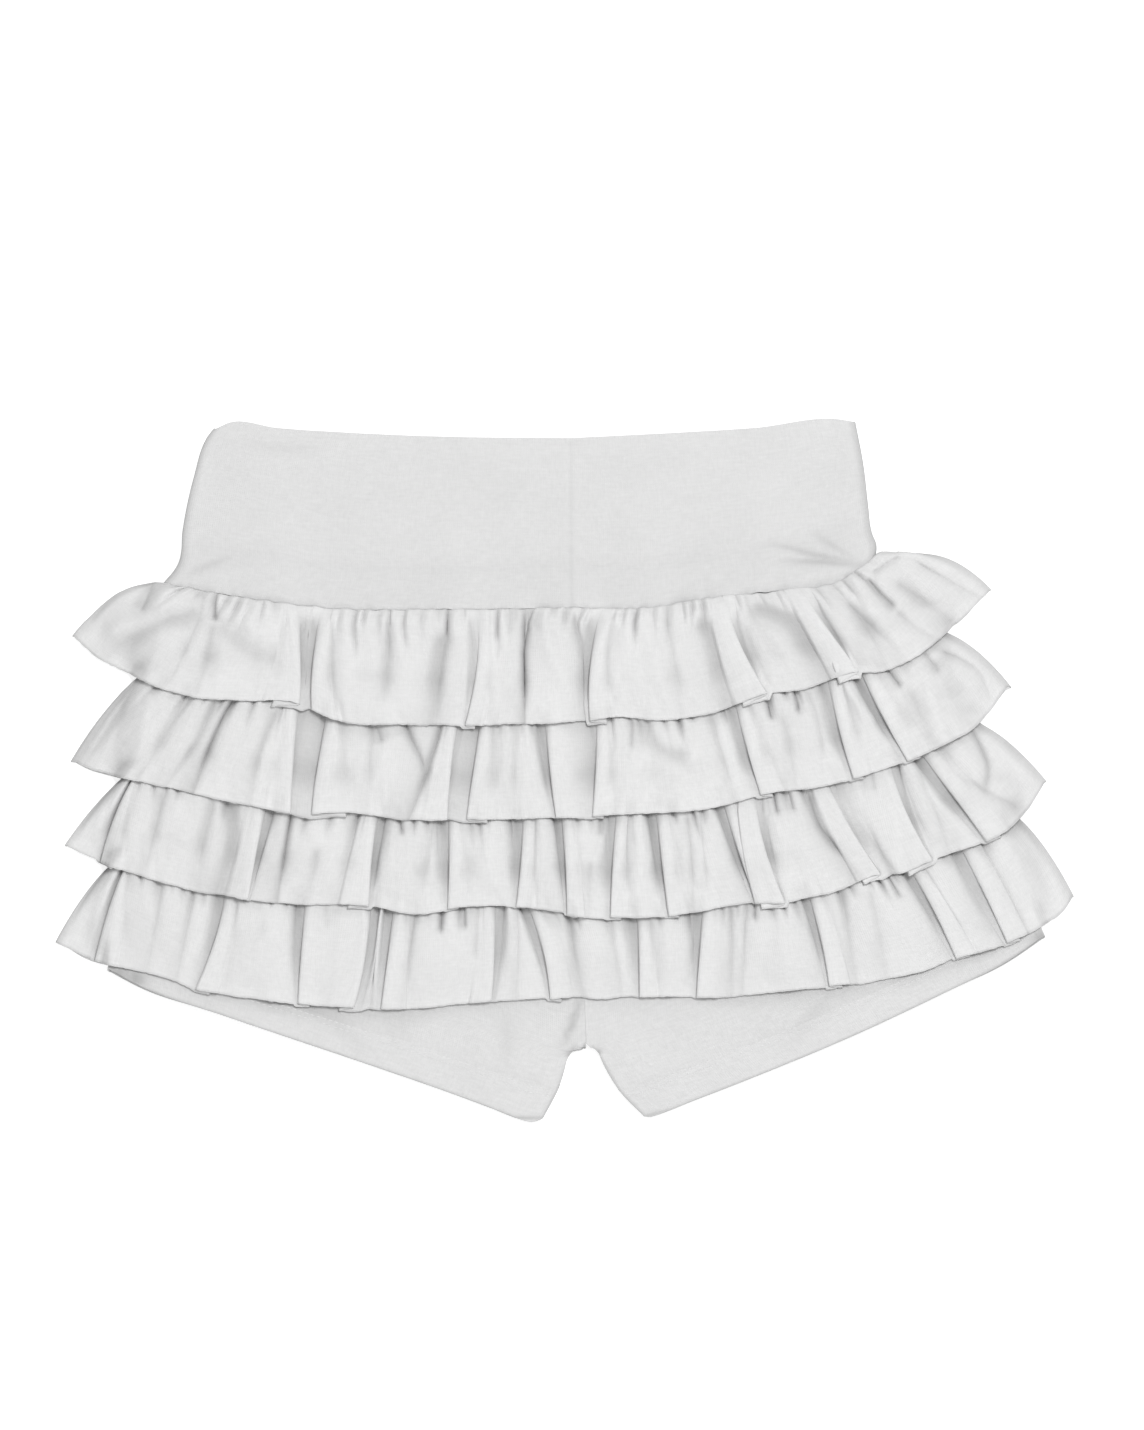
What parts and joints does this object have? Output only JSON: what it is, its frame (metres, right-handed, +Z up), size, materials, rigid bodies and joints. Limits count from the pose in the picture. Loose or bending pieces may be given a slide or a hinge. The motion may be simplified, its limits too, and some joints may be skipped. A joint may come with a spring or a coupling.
{
  "type": "tiered culottes",
  "caption": "Pull-on culottes in plain pale jersey with a wide yoke waistband, gathered ruffle tiers and short hemmed legs, laid flat.",
  "frame": {"origin": "centre of the bounding box in plan, on the table it lies on", "axes": "+X across the waist towards the right side of the view from above, +Y from the leg hems towards the waist, +Z up from the table"},
  "size_m": [0.5386, 0.3696, 0.021],
  "materials": {
    "waistband": "plain white jersey, matt",
    "ruffle": "plain white jersey, matt, raw edge",
    "shorts": "plain white jersey, matt"
  },
  "bodies": {
    "root": {"waistband_front_left": "waistband", "waistband_front_right": "waistband", "waistband_back_left": "waistband", "waistband_back_right": "waistband", "ruffle_1_front": "ruffle", "ruffle_1_back": "ruffle", "ruffle_2_front": "ruffle", "ruffle_2_back": "ruffle", "ruffle_3_front": "ruffle", "ruffle_3_back": "ruffle", "ruffle_4_front": "ruffle", "ruffle_4_back": "ruffle", "shorts_front_left": "shorts", "shorts_front_right": "shorts", "shorts_back_left": "shorts", "shorts_back_right": "shorts"}
  },
  "joints": []
}
